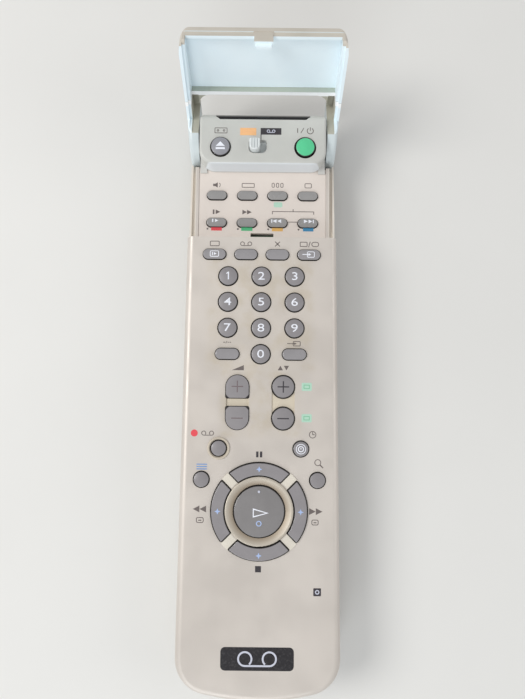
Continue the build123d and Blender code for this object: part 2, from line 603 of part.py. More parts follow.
def make_hood():
    """Flip-up hood: panel, side walls with a stepped rim, arms, cheeks, pegs and latch tab."""
    rib_y0 = 78.95
    rib_y1 = 80.5
    pocket_end = PIVOT_Y - 9.0
    end_wall = HOOD_FAR_Y + 1.6
    under_skin = TOP - HOOD_SKIN
    hood = side_slab(hood_profile(), -HOOD_HALF, HOOD_HALF) & hood_envelope()
    cheek_edges = [edge for edge in hood.edges() if edge.center().Z < PIVOT_Z - 2 and abs(edge.center().X) > 20]
    hood = fillet(cheek_edges, 1.5)
    hood -= block(-SIDE_IN, SIDE_IN, end_wall, rib_y0, 0, under_skin)
    hood -= block(-SIDE_IN, SIDE_IN, rib_y0 - 0.1, pocket_end, 0, TOP - RIB_DEPTH)
    hood -= both_sides(ARM_IN, SIDE_IN, rib_y1, pocket_end, 0, under_skin)
    hood -= block(-SIDE_IN, SIDE_IN, HOOD_FAR_Y - 1, end_wall + 0.1, 0, TOP - HOOD_END_DEPTH)
    hood -= block(-HOOD_HALF - 1, HOOD_HALF + 1, 0, HOOD_FAR_Y + HOOD_END_STEP, 0, TOP - 2.2)
    hood -= hood_cutout()
    ledge = side_face(
        (HOOD_FAR_Y - 1, 0),
        (PIVOT_Y - 9.3, 0),
        (PIVOT_Y - 9.3, TOP - rim_depth(PIVOT_Y - 9.3) + LEDGE_STEP),
        (HOOD_FAR_Y - 1, TOP - rim_depth(HOOD_FAR_Y - 1) + LEDGE_STEP),
    )
    step = side_slab(ledge, SIDE_IN - 1, SKIRT_IN)
    hood -= step + mirror(step, about=Plane.YZ)
    hood += block(-3.1, 3.1, HOOD_FAR_Y + 0.2, HOOD_FAR_Y + 2.5, DECK_Z + 0.25, under_skin)
    hood += block(-2.6, 2.6, HOOD_FAR_Y + 1.6, HOOD_FAR_Y + 2.4, DECK_Z - 1.2, DECK_Z + 0.3)
    peg = Pos(0, PIVOT_Y, PIVOT_Z) * Rot(0, 90, 0) * Cylinder(PEG_R, 2 * ARM_IN + 1)
    peg -= block(-HEAD_HALF + 1.4, HEAD_HALF - 1.4, 0, 120, 0, 40)
    hood += peg
    return hood.rotate(PIVOT, -HOOD_OPEN_DEG)


# ---- head keys and slide switch ----------------------------------------------------------
def head_key(radius):
    """Tall key: its stem reaches down to the contact on the lower board."""
    key = key_solid(Circle(radius), FLANGE_Z, TOP, 1.1)
    foot = DECK_MAT_TOP_Z + KEY_ROOM
    return key + Pos(0, 0, foot) * extrude(Circle(1.8), FLANGE_Z - foot + 0.1)


def make_switch_lever():
    """Ribbed thumb lever on a slide plate, with a stem down to the switch."""
    centre_x = SLOT_AT[0] - SWITCH_TRAVEL / 2
    plan = Rectangle(*LEVER_SIZE)
    plan = fillet(plan.vertices().group_by(Axis.Y)[0], 1.9)
    plan = fillet(plan.vertices().group_by(Axis.Y)[-1], 0.8)
    cap = Pos(0, 0, FLANGE_Z) * extrude(plan, TOP + LEVER_RISE - FLANGE_Z)
    cap = fillet(cap.edges().group_by(Axis.Z)[-1], 0.45)
    for x, half in ((-0.95, 0.12), (0.0, 0.2), (0.95, 0.12)):
        groove = block(x - half, x + half, -1.6, 3, TOP + LEVER_RISE - 0.4, TOP + 4)
        cap -= groove
    plate = Pos(0.4, 0, FLANGE_Z) * extrude(Rectangle(10.6, 6.4), FLANGE_T)
    stem = block(-0.9, 0.9, -0.9, 0.9, DECK_MAT_TOP_Z + 2.4, FLANGE_Z + 0.1)
    return Pos(centre_x, SLOT_AT[1], 0) * (cap + plate + stem)


# ---- boards, mats, cells and contacts ----------------------------------------------------
def make_key_mat(keys, z, y0, y1):
    """Rubber mat under a group of keys, with a low pad below each."""
    mat = block(-BOARD_HALF, BOARD_HALF, y0, y1, z - MAT_T, z)
    for outline, x, y in keys:
        middle = outline.center()
        pad = Cylinder(1.2, 0.3, align=(Align.CENTER, Align.CENTER, Align.MIN))
        mat += Pos(x + middle.X, y + middle.Y, z) * pad
    return mat


def boss_notches():
    """Room for the screw bosses in the main board and its mat."""
    spots = [Pos(x, y) * Circle(BOSS_R + 0.2) for x, y in SCREW_SPOTS]
    return extrude(Sketch() + spots, TOP)


def make_main_board():
    """Upper circuit board under the main keys; it rests on the four screw posts."""
    board = block(-BOARD_HALF, BOARD_HALF, -57.0, 53.4, BOARD_Z, BOARD_Z + BOARD_T)
    return board - boss_notches()


def make_ribbon():
    """Flat cable between the two boards, bent down through the case's front wall."""
    low = DECK_BOARD_Z + BOARD_T
    thick = 0.25
    cable = side_face(
        (58.8, low),
        (52.0, low),
        (49.6, BOARD_Z - thick),
        (46.5, BOARD_Z - thick),
        (46.5, BOARD_Z),
        (49.75, BOARD_Z),
        (52.15, low + thick),
        (58.8, low + thick),
    )
    return side_slab(cable, -6, 6)


def make_deck_board():
    """Lower circuit board under the deck and the head, with the slide switch on it."""
    board = block(-20.5, 20.5, MAIN_EDGE_Y + 0.4, 98.0, DECK_BOARD_Z, DECK_BOARD_Z + BOARD_T)
    x, y = SLOT_AT
    top = DECK_BOARD_Z + BOARD_T
    housing = block(x - 4.5, x + 4.5, y - 2, y + 2, top, DECK_MAT_TOP_Z + 3.4)
    housing -= block(x - 2.4, x + 2.4, y - 1.3, y + 1.3, DECK_MAT_TOP_Z + 2.0, DECK_MAT_TOP_Z + 4)
    return board + housing


def make_deck_mat():
    """Mat under the deck keys and the two head keys, open round the slide switch."""
    keys = list(DECK_KEYS.values())
    keys += [(Circle(EJECT_R), EJECT_X, HEAD_KEY_Y), (Circle(POWER_R), POWER_X, HEAD_KEY_Y)]
    mat = make_key_mat(keys, DECK_MAT_TOP_Z, 59.2, 92.0) & block(-20.5, 20.5, 0, 120, 0, TOP)
    x, y = SLOT_AT
    return mat - block(x - 5.5, x + 5.5, y - 3, y + 3, 0, TOP)


def make_led():
    """Infrared diode lying behind the window, its legs bent down to the board."""
    z = DECK_BOARD_Z + BOARD_T + 2.7
    body = Cylinder(2.5, 4.6, align=(Align.CENTER, Align.CENTER, Align.MIN))
    dome = Pos(0, 0, 4.6) * Sphere(2.5)
    dome -= Pos(0, 0, 0) * Cylinder(3, 4.6, align=(Align.CENTER, Align.CENTER, Align.MIN))
    lamp = Pos(0, 92.9, z) * Rot(-90, 0, 0) * (body + (dome & Pos(0, 0, 4.6) * Cylinder(3, 10)))
    legs = both_sides(1.0, 1.5, 92.1, 93.1, DECK_BOARD_Z + BOARD_T, z)
    return lamp + legs


def make_cell(x, flat_end_y, nub_way):
    """An AA cell lying along Y, its nub towards the head (1) or the tail (-1)."""
    can = Cylinder(CELL_R, CELL_LENGTH, align=(Align.CENTER, Align.CENTER, Align.MIN))
    nub = Pos(0, 0, CELL_LENGTH) * Cylinder(2.7, CELL_NUB, align=(Align.CENTER, Align.CENTER, Align.MIN))
    return Pos(x, flat_end_y, CELL_Z) * Rot(-90 * nub_way, 0, 0) * (can + nub)


def make_contact(x0, x1, wall_y, facing, leaf_x=None):
    """Sheet contact on a bay wall, with a bowed leaf where it meets a cell's flat end."""
    y0, y1 = sorted((wall_y, wall_y + SHEET_T * facing))
    sheet = block(x0, x1, y0, y1, CELL_Z - 5, CELL_Z + 2.4)
    if leaf_x is None:
        return sheet
    y = wall_y + SHEET_T * facing
    outer = ThreePointArc((y, CELL_Z - 2.2), (y + LEAF_BOW * facing, CELL_Z), (y, CELL_Z + 2.2))
    inner = ThreePointArc((y, CELL_Z + 1.8), (y + (LEAF_BOW - SHEET_T) * facing, CELL_Z), (y, CELL_Z - 1.8))
    ends = Line((y, CELL_Z + 2.2), (y, CELL_Z + 1.8)) + Line((y, CELL_Z - 1.8), (y, CELL_Z - 2.2))
    bow = Plane.YZ * make_face(outer + inner + ends)
    return sheet + side_slab(bow, leaf_x - 1.5, leaf_x + 1.5)


def make_screws():
    """Four identical self-tapping screws, driven in from the back."""
    head = extrude(Circle(SCREW_HEAD_R), SCREW_HEAD_T)
    shank = Pos(0, 0, SCREW_HEAD_T) * extrude(Circle(SCREW_R), BOARD_Z + 3.6 - SCREW_SINK - SCREW_HEAD_T)
    cross = block(-1.2, 1.2, -0.25, 0.25, -1, 0.6) + block(-0.25, 0.25, -1.2, 1.2, -1, 0.6)
    screw = head + shank - cross
    return Compound(children=[Pos(x, y, SCREW_SINK) * screw for x, y in SCREW_SPOTS])


# ---- assembly ----------------------------------------------------------------------------
parts = {
    "upper_case": make_upper_case(),
    "deck_plate": make_deck_plate(),
    "head_cover": make_head_cover(),
    "lower_case": make_lower_case(),
    "ir_window": make_ir_window(),
    "battery_cover": make_battery_cover(),
    "hood": make_hood(),
    "switch_lever": make_switch_lever(),
    "main_key_mat": make_key_mat(MAIN_KEYS.values(), MAT_TOP_Z, -57.0, 53.4) - boss_notches(),
    "deck_key_mat": make_deck_mat(),
    "main_board": make_main_board(),
    "deck_board": make_deck_board(),
    "controller_chip": block(-7, 7, 2, 16, BOARD_Z - 2, BOARD_Z),
    "ribbon_cable": make_ribbon(),
    "infrared_led": make_led(),
    "battery_left": make_cell(-CELL_X, BAY_FRONT_Y - SHEET_T - CELL_NUB - CELL_LENGTH, 1),
    "battery_right": make_cell(CELL_X, BAY_TAIL_Y + SHEET_T + CELL_NUB + CELL_LENGTH, -1),
    "contact_positive": make_contact(-CELL_X - 5, -CELL_X + 5, BAY_FRONT_Y, -1),
    "contact_negative": make_contact(CELL_X - 5, CELL_X + 5, BAY_FRONT_Y, -1, CELL_X),
    "contact_bridge": make_contact(-CELL_X - 5, CELL_X + 5, BAY_TAIL_Y, 1, -CELL_X),
    "case_screws": make_screws(),
    "eject_key": Pos(EJECT_X, HEAD_KEY_Y) * head_key(EJECT_R),
    "power_key": Pos(POWER_X, HEAD_KEY_Y) * head_key(POWER_R),
}
for name, (outline, x, y) in MAIN_KEYS.items():
    rise = PLAY_RISE if name == "play_key" else CAP_RISE
    parts[name] = Pos(x, y) * key_solid(outline, FLANGE_Z, TOP, rise, domed=name not in RING_KEYS)
for name, (outline, x, y) in DECK_KEYS.items():
    parts[name] = Pos(x, y) * key_solid(outline, DECK_FLANGE_Z, DECK_Z)

os.makedirs("parts", exist_ok=True)
for name, solid in parts.items():
    export_step(solid, f"parts/{name}.step")
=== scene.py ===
import json
import math

import bmesh
import bpy
from mathutils import Matrix, Vector


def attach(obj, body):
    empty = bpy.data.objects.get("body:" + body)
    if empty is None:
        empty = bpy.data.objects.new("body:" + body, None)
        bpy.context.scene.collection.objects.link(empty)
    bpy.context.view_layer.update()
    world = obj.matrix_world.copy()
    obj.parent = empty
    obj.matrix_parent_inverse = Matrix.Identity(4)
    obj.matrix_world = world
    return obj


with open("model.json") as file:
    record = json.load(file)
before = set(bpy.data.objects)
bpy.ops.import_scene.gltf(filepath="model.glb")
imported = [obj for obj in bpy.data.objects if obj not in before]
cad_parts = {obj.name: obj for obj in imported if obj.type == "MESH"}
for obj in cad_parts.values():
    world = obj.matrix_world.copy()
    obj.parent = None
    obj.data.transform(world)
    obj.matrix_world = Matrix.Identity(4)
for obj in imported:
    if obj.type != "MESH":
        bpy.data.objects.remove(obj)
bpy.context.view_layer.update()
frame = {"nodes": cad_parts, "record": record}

# Lengths are in millimetres until they reach a mesh. X is right, Y towards the head, Z up.
# Limits inside materials are in metres, as object coordinates are.
MM = 0.001
TOP = 24.0                # face of the main cover and of the head
DECK = 17.54              # face of the deck plate
KEY_TOP = TOP + 0.9
DECK_KEY_TOP = DECK + 0.9
HEAD_KEY_TOP = TOP + 1.1
PLAY_TOP = TOP + 1.2

DIGIT_PITCH_X = 11.7
DIGIT_PITCH_Y = 9.15
DIGIT_TOP_Y = 41.6
DIGIT_R = 3.35
PILL_PITCH = 11.1
PILL_ROW_Y = 49.4
PILL_DEPTH = 3.65
OUTER_PILL_X = 16.65      # first and last pill of a row, and the two between them
INNER_PILL_X = 5.55
DECK_ROW_Y = 62.7
DECK_PILL_DEPTH = 3.3
PAIR_X = 7.95             # volume keys left, programme keys right
PAIR_PLUS_Y = 2.85
PAIR_MINUS_Y = -8.05
PROGRAMME_R = 3.95
VOLUME_WIDTH = 7.9
RECORD_AT = (-14.15, -18.4)
TIMER_AT = (14.15, -18.4)
TIMER_R = 2.7
EJECT_AT = (-15.2, 88.6)
EJECT_R = 3.45
RING_Y = -39.6
PLAY_R = 8.75

INK_LIFT = 0.03           # printed marks stand this far above the plastic
INK_SINK = 0.08
OVERPRINT_LIFT = 2 * INK_LIFT
SUNK_LIFT = 0.012         # signs moulded into a key barely show above it
COVER_LINE = 0.26         # width of the printed lines on the main cover
DECK_LINE = 0.24          # and on the deck, the head and the pill keys
CURVE_STEP = 0.45         # marks on a domed key are divided this finely to follow it
LEVEL_ENOUGH = 0.001      # a mark that rises less than this isn't divided
MERGE_DISTANCE = 0.0005
FIGURE_SIZE = 3.95
FIGURE_BOLD = 0.01
FIGURE_WIDE = 1.35        # figures are drawn wider than the font's own
FIGURE_ONE = ((0.3, -1.3), (0.3, 1.45), (0.0, 1.45), (-0.65, 0.95), (-0.65, 0.6), (-0.1, 0.9),
              (-0.1, -1.3))

HOOD_PIVOT = (0.0958, 0.0129)         # along and up, in metres
HOOD_OPEN = math.radians(109.1)
EDGE_SHADE_DEPTH = 0.00006                 # over which a key's edge is painted dark as shade, in metres

FOCAL_PIXELS = 600.1
PICTURE_HEIGHT = 699
SENSOR = 36.0


# ---- colours and materials ---------------------------------------------------------------
def srgb(red, green, blue):
    """A screen colour, 0 to 255, as the linear colour Blender works in."""
    channels = []
    for value in (red, green, blue):
        value /= 255
        channels.append(value / 12.92 if value <= 0.04045 else ((value + 0.055) / 1.055) ** 2.4)
    return (*channels, 1.0)


class Finish:
    """A material under construction: small helpers that add and wire its nodes."""

    def __init__(self, name, roughness=0.45, metallic=0.0, coat=0.0):
        self.material = bpy.data.materials.new(name)
        self.material.use_nodes = True
        self.tree = self.material.node_tree
        self.shader = self.tree.nodes["Principled BSDF"]
        self.shader.inputs["Roughness"].default_value = roughness
        self.shader.inputs["Metallic"].default_value = metallic
        self.shader.inputs["Coat Weight"].default_value = coat
        self.place = self.add("ShaderNodeTexCoord").outputs["Object"]

    def add(self, kind, **settings):
        node = self.tree.nodes.new(kind)
        for key, value in settings.items():
            setattr(node, key, value)
        return node

    def wire(self, source, target):
        if isinstance(source, (int, float)):
            target.default_value = source
        else:
            self.tree.links.new(source, target)

    def math(self, operation, first, second=0.0, clamp=False):
        node = self.add("ShaderNodeMath", operation=operation, use_clamp=clamp)
        self.wire(first, node.inputs[0])
        self.wire(second, node.inputs[1])
        return node.outputs[0]

    def noise(self, scale, detail=4.0):
        node = self.add("ShaderNodeTexNoise")
        node.inputs["Scale"].default_value = scale
        node.inputs["Detail"].default_value = detail
        node.inputs["Roughness"].default_value = 0.55
        self.wire(self.place, node.inputs["Vector"])
        return node.outputs["Fac"]

    def ramp(self, value, low, high, low_out=0.0, high_out=1.0):
        """Smooth step of a value between two limits."""
        node = self.add("ShaderNodeMapRange", interpolation_type="SMOOTHSTEP")
        self.wire(value, node.inputs["Value"])
        node.inputs["From Min"].default_value = low
        node.inputs["From Max"].default_value = high
        node.inputs["To Min"].default_value = low_out
        node.inputs["To Max"].default_value = high_out
        return node.outputs["Result"]

    def below(self, value, low, high):
        """1 under a soft limit and 0 over it."""
        return self.ramp(value, low, high, 1.0, 0.0)

    def between(self, value, rise, fall):
        """1 between two soft limits, each given by where it starts and where it ends."""
        return self.math("MULTIPLY", self.ramp(value, *rise), self.below(value, *fall))

    def mix(self, share, first, second):
        node = self.add("ShaderNodeMix", data_type="RGBA")
        self.wire(share, node.inputs[0])
        for source, socket in ((first, node.inputs[6]), (second, node.inputs[7])):
            if isinstance(source, tuple):
                socket.default_value = source
            else:
                self.wire(source, socket)
        return node.outputs[2]

    def mottle(self, scale, first, second, low=0.3, high=0.7):
        """Two linear colours that drift into each other."""
        return self.mix(self.ramp(self.noise(scale), low, high), first, second)

    def axes(self):
        node = self.add("ShaderNodeSeparateXYZ")
        self.wire(self.place, node.inputs[0])
        return node.outputs

    def colour(self, source):
        self.wire(source, self.shader.inputs["Base Color"])

    def grain(self, strength, scale):
        """Fine moulded texture as a bump."""
        bump = self.add("ShaderNodeBump")
        bump.inputs["Strength"].default_value = strength
        bump.inputs["Distance"].default_value = 0.00004
        self.wire(self.noise(scale, detail=2.0), bump.inputs["Height"])
        self.wire(bump.outputs[0], self.shader.inputs["Normal"])

    def sheen_wear(self, low, high, scale=90.0):
        """Roughness that drifts between polished and dull patches."""
        drift = self.ramp(self.noise(scale), 0.35, 0.65, low, high)
        self.wire(drift, self.shader.inputs["Roughness"])


def toned(base, gain, offset=0.0):
    """A linear colour with its channels scaled and shifted."""
    return tuple(channel * gain + offset for channel in base[:3]) + (1.0,)


def moulded(name, colour, shade=0.93, rough=(0.4, 0.5), grain=0.15, grain_scale=5200.0,
            mottle=60.0, rim=None, **settings):
    """Moulded plastic of one colour, mottled, worn and finely grained; painted shade below its rim.
    """
    finish = Finish(name, **settings)
    base = srgb(*colour)
    colour = finish.mottle(mottle, toned(base, shade), base)
    if rim:
        # Painted shade: below the rim a key's edge is painted near black, for the shadow in its
        # hole.
        edge_shade = finish.below(finish.axes()[2], rim - EDGE_SHADE_DEPTH, rim)
        colour = finish.mix(edge_shade, colour, srgb(34, 30, 31))
    finish.colour(colour)
    finish.sheen_wear(*rough)
    finish.grain(grain, grain_scale)
    return finish.material


def ink(name, colour):
    """Screen-printed ink with a slightly patchy, worn coverage."""
    finish = Finish(name)
    base = srgb(*colour)
    worn = finish.ramp(finish.noise(1600.0, detail=3.0), 0.48, 0.7)
    finish.colour(finish.mix(worn, base, toned(base, 0.92, 0.025)))
    finish.sheen_wear(0.4, 0.6, 700.0)
    return finish.material


def box_mask(finish, axes, half_width, y_range, soft):
    """1 inside a rectangle on the middle line of the top face, fading to 0 round it."""
    across = finish.below(finish.math("ABSOLUTE", axes[0]), half_width, half_width + soft)
    low, high = y_range
    along = finish.between(axes[1], (low - soft, low), (high, high + soft))
    return finish.math("MULTIPLY", across, along)


def distance_from(finish, axes, x, y):
    """Distance from a point of the top face, in metres."""
    across = finish.math("ADD", axes[0], -x * MM)
    along = finish.math("ADD", axes[1], -y * MM)
    squares = [finish.math("MULTIPLY", side, side) for side in (across, along)]
    return finish.math("SQRT", finish.math("ADD", *squares))


def silver_paint():
    """Warm silver flake paint, yellowed round the keys and ring, with painted shade and highlights.
    """
    finish = Finish("silver_beige_paint", metallic=0.3)
    axes = finish.axes()
    sides = finish.math("ABSOLUTE", axes[0])
    away = distance_from(finish, axes, 0.0, RING_Y)

    fresh = finish.mottle(22.0, srgb(204, 196, 188), srgb(213, 205, 197), 0.35, 0.65)
    flakes = finish.ramp(finish.noise(9000.0, detail=1.0), 0.55, 0.75, 0.0, 0.35)
    fresh = finish.mix(flakes, fresh, srgb(226, 222, 216))

    round_digits = box_mask(finish, axes, 0.0165, (0.0105, 0.0470), 0.004)
    round_pairs = box_mask(finish, axes, 0.0125, (-0.0130, 0.0075), 0.003)
    patch = finish.ramp(finish.noise(130.0, detail=5.0), 0.42, 0.66)
    yellowing = finish.math("ADD", finish.math("MULTIPLY", patch, 0.45), 0.12)
    touched = finish.math("MAXIMUM", round_digits, round_pairs)
    touched = finish.math("MULTIPLY", touched, yellowing)
    guard = finish.ramp(distance_from(finish, axes, *RECORD_AT), 0.0037, 0.0040, 0.7, 0.0)
    touched = finish.math("MAXIMUM", touched, guard, clamp=True)
    colour = finish.mix(touched, fresh, srgb(198, 186, 166))

    # The ring's dish: yellowed, and painted darker towards the play key as painted shade where it
    # sinks.
    ring_dish_tone_and_shade = finish.mix(finish.ramp(away, 0.0090, 0.0114), srgb(164, 150, 132), srgb(198, 189, 175))
    colour = finish.mix(finish.below(away, 0.0118, 0.0122), colour, ring_dish_tone_and_shade)
    # Painted highlight: the raised spokes between the ring's keys are painted paler.
    spoke_highlight = finish.between(away, (0.0122, 0.0123), (0.0172, 0.0173))
    spoke_highlight = finish.math("MULTIPLY", spoke_highlight, finish.ramp(axes[2], 0.02408, 0.02412))
    colour = finish.mix(spoke_highlight, colour, srgb(228, 221, 208))

    # Painted highlight: the rails' outer lips by the deck are painted paler.
    rail_highlight = finish.math("MULTIPLY", finish.ramp(sides, 0.0242, 0.0244),
                        finish.ramp(axes[1], 0.0555, 0.0560))
    colour = finish.mix(rail_highlight, colour, srgb(236, 229, 219))

    channel = box_mask(finish, axes, 0.0122, (-0.0082, 0.0030), 0.0001)
    sunk = finish.below(axes[2], 0.02385, 0.02395)
    inside = box_mask(finish, axes, 0.0225, (-0.0620, 0.0545), 0.0004)
    # Painted shade: the walls down inside the key holes are painted dark.
    hole_wall_shade = finish.math("MULTIPLY", sunk, finish.math("SUBTRACT", 1.0, channel))
    hole_wall_shade = finish.math("MULTIPLY", inside, hole_wall_shade)
    colour = finish.mix(finish.math("MULTIPLY", channel, sunk), colour, srgb(218, 207, 188))
    finish.colour(finish.mix(hole_wall_shade, colour, srgb(74, 66, 60)))
    finish.sheen_wear(0.4, 0.52)
    finish.grain(0.12, 4200.0)
    return finish.material


def hood_axes(finish, axes):
    """Height above the hood's inside and reach along its panel, from the pivot, when open."""
    along = finish.math("ADD", axes[1], -HOOD_PIVOT[0])
    up = finish.math("ADD", axes[2], -HOOD_PIVOT[1])
    sine, cosine = math.sin(HOOD_OPEN), math.cos(HOOD_OPEN)
    height = finish.math("ADD", finish.math("MULTIPLY", along, sine),
                         finish.math("MULTIPLY", up, cosine))
    reach = finish.math("ADD", finish.math("MULTIPLY", along, -cosine),
                        finish.math("MULTIPLY", up, sine))
    return height, reach


def hood_plastic():
    """Cool white inside, warm silver paint on the outer skin and its rims; some shade and
    highlights painted.
    """
    finish = Finish("hood_plastic")
    axes = finish.axes()
    height, reach = hood_axes(finish, axes)
    sides = finish.math("ABSOLUTE", axes[0])
    cool = finish.mottle(40.0, srgb(230, 244, 251), srgb(236, 248, 253))
    warm = finish.mottle(60.0, srgb(195, 189, 177), srgb(206, 199, 188))

    outer_skin = finish.ramp(height, 0.0097, 0.0105)
    free_edge = finish.ramp(reach, 0.03910, 0.03920)
    wall_end = finish.math("MULTIPLY", finish.ramp(reach, 0.03770, 0.03785),
                           finish.ramp(sides, 0.0254, 0.0256))
    painted = finish.math("MAXIMUM", outer_skin, finish.math("MAXIMUM", free_edge, wall_end))
    # Painted highlight: the ledge of the free end's step partly keeps the pale inside colour, so
    # its edge shows bright.
    ledge_highlight = finish.math("MULTIPLY", finish.ramp(reach, 0.03930, 0.03935),
                        finish.ramp(height, 0.00893, 0.00896, 0.6, 0.0))
    ledge_highlight = finish.math("MULTIPLY", ledge_highlight, finish.ramp(sides, 0.0032, 0.0034))
    painted = finish.math("SUBTRACT", painted, ledge_highlight, clamp=True)
    colour = finish.mix(painted, cool, warm)

    # Painted shade: the rib's upper face is painted grey-green.
    rib_top_shade = finish.between(reach, (0.01680, 0.01682), (0.01692, 0.01694))
    colour = finish.mix(rib_top_shade, colour, srgb(174, 182, 170))
    # Painted shade: the arms' inner flanks are painted a darker beige.
    arm_flank_shade = finish.math("MULTIPLY", finish.below(reach, 0.0150, 0.0162),
                            finish.below(sides, 0.0257, 0.0259))
    colour = finish.mix(arm_flank_shade, colour, srgb(182, 180, 166))
    # Painted highlight: the rib's front face is painted near white.
    rib_front_highlight = finish.between(reach, (0.0150, 0.0152), (0.01676, 0.01680))
    rib_front_highlight = finish.math("MULTIPLY", rib_front_highlight, finish.below(height, 0.0072, 0.0073))
    colour = finish.mix(rib_front_highlight, colour, srgb(252, 254, 255))
    # Painted shade: the cheeks are painted a darker cool white.
    cheek_shade = finish.below(reach, 0.00885, 0.00895)
    finish.colour(finish.mix(cheek_shade, colour, srgb(204, 213, 215)))
    finish.sheen_wear(0.3, 0.45)
    finish.grain(0.08, 4200.0)
    return finish.material


def head_plastic():
    """Silver head: its front wall is painted paler and cooler as painted light, the low corner
    steps match the deck.
    """
    finish = Finish("head_plastic")
    axes = finish.axes()
    top = finish.mottle(60.0, srgb(192, 192, 187), srgb(200, 200, 195))
    # Painted light: the front wall, facing the front lamp, is painted paler and cooler than the
    # top.
    lit_front_wall = finish.below(axes[1], 0.0828, 0.0832)
    colour = finish.mix(lit_front_wall, top, srgb(222, 226, 229))
    steps = finish.math("MULTIPLY", finish.below(axes[2], 0.01815, 0.01818),
                        finish.below(axes[1], 0.0876, 0.0878))
    finish.colour(finish.mix(steps, colour, srgb(203, 202, 198)))
    finish.sheen_wear(0.34, 0.44)
    finish.grain(0.1, 5200.0)
    return finish.material


def board_coat():
    """Green solder mask with faint copper tracks below it."""
    finish = Finish("solder_mask", coat=0.2)
    bars = finish.add("ShaderNodeTexWave", wave_type="BANDS", bands_direction="X")
    bars.inputs["Scale"].default_value = 260.0
    bars.inputs["Distortion"].default_value = 6.0
    finish.wire(finish.place, bars.inputs["Vector"])
    tracks = finish.ramp(bars.outputs["Fac"], 0.62, 0.7)
    finish.colour(finish.mix(tracks, srgb(20, 86, 48), srgb(52, 122, 70)))
    finish.sheen_wear(0.25, 0.35, 300.0)
    return finish.material


def cell_jacket():
    """Printed cell jacket: dark can, paler band towards one end."""
    finish = Finish("cell_jacket", metallic=0.5, coat=0.3)
    axes = finish.axes()
    pale_band = finish.ramp(axes[1], -0.0600, -0.0594)
    scuffs = finish.ramp(finish.noise(700.0), 0.62, 0.72, 0.0, 0.4)
    dark = finish.mix(scuffs, srgb(44, 52, 66), srgb(110, 116, 126))
    finish.colour(finish.mix(pale_band, dark, srgb(176, 140, 82)))
    finish.sheen_wear(0.2, 0.32, 300.0)
    return finish.material


def plated(name, colour, rough):
    """Bare plated metal with a faint brushed variation."""
    finish = Finish(name, metallic=1.0)
    base = srgb(*colour)
    finish.colour(finish.mottle(900.0, base, toned(base, 0.8), 0.4, 0.7))
    finish.sheen_wear(rough, rough + 0.12, 900.0)
    return finish.material


def key_plastic(name, colour, rim):
    """Glossy key, painted dark at its edge as shade where it sinks into its hole: rim is the height
    of the edge.
    """
    return moulded(name, colour, rough=(0.26, 0.38), grain=0.08, mottle=220.0, rim=rim, coat=0.4)


FINISHES = {
    "case_beige": silver_paint(),
    "case_back": moulded("case_back_plastic", (190, 186, 180), rough=(0.5, 0.62), grain=0.35,
                         grain_scale=3000.0),
    "head_silver": head_plastic(),
    "deck_beige": moulded("deck_plastic", (223, 213, 205), shade=0.96, grain=0.1),
    "hood_silver": hood_plastic(),
    "key_grey": key_plastic("key_plastic", (142, 138, 140), 0.02456),
    "deck_key_grey": key_plastic("deck_key_plastic", (152, 150, 149), 0.01824),
    "power_green": key_plastic("power_key_plastic", (88, 204, 148), 0.02475),
    "lever_white": moulded("lever_plastic", (224, 228, 228), rough=(0.25, 0.35), grain=0.08),
    "window_black": moulded("window_plastic", (14, 13, 15), shade=0.8, rough=(0.06, 0.12),
                            grain=0.02, coat=0.6),
    "mat_rubber": moulded("mat_rubber", (150, 150, 148), rough=(0.6, 0.75), grain=0.3),
    "board_green": board_coat(),
    "chip_black": moulded("chip_resin", (28, 28, 30), rough=(0.45, 0.6), grain=0.3),
    "ribbon_white": moulded("ribbon_film", (216, 214, 206), rough=(0.3, 0.4)),
    "led_clear": moulded("diode_lens", (92, 104, 142), rough=(0.08, 0.14), grain=0.02, coat=0.5),
    "cell_jacket": cell_jacket(),
    "contact_nickel": plated("contact_nickel", (196, 192, 182), 0.22),
    "screw_steel": plated("screw_zinc", (150, 150, 150), 0.3),
}
KEY_FINISHES = {}
for keys, finish_name, tint, rim_height in (
    (("play",), "play_key_plastic", (134, 131, 131), 0.02469),
    (("pause", "rewind", "stop", "forward"), "ring_key_plastic", (146, 142, 144), 0.02488),
    (("display", "speed", "clear", "input", "dash", "select"), "pill_key_plastic",
     (150, 147, 149), 0.02467),
    (("volume_up", "volume_down"), "volume_key_plastic", (146, 142, 144), 0.02452),
    (("eject",), "eject_key_plastic", (148, 148, 154), 0.02475),
):
    key_finish = key_plastic(finish_name, tint, rim_height)
    KEY_FINISHES.update({key + "_key": key_finish for key in keys})
for part in frame["record"]["subparts"]:
    node = frame["nodes"][part["node"]]
    node.data.materials.clear()
    node.data.materials.append(KEY_FINISHES.get(part["node"], FINISHES[part["material_slot"]]))

INK_DARK = ink("ink_dark", (54, 50, 55))
INK_GREY = ink("ink_grey", (106, 97, 94))
INK_BADGE = ink("ink_badge", (26, 22, 27))
INK_WHITE = ink("ink_white", (236, 238, 246))
INK_PALE = ink("ink_pale", (198, 200, 214))
INK_BLUE = ink("ink_blue", (104, 146, 204))
INK_SKY = ink("ink_sky", (168, 188, 228))
INK_RED = ink("ink_red", (228, 74, 84))
INK_MINT = ink("ink_mint", (178, 214, 194))
INK_GREEN = ink("ink_green", (78, 182, 126))
INK_SAGE = ink("ink_sage", (136, 192, 160))
INK_AMBER = ink("ink_amber", (226, 178, 100))
INK_ORANGE = ink("ink_orange", (240, 184, 130))
INK_SEA = ink("ink_sea", (60, 136, 180))
INK_CUT = ink("ink_cut", (112, 98, 100))


# ---- surfaces the marks lie on -----------------------------------------------------------
def level(z):
    """A flat face."""
    return lambda x, y: z


def ball(x0, y0, top, radius):
    """The crown of a ball, highest at one point."""
    return lambda x, y: top - radius + math.sqrt(radius**2 - (x - x0)**2 - (y - y0)**2)


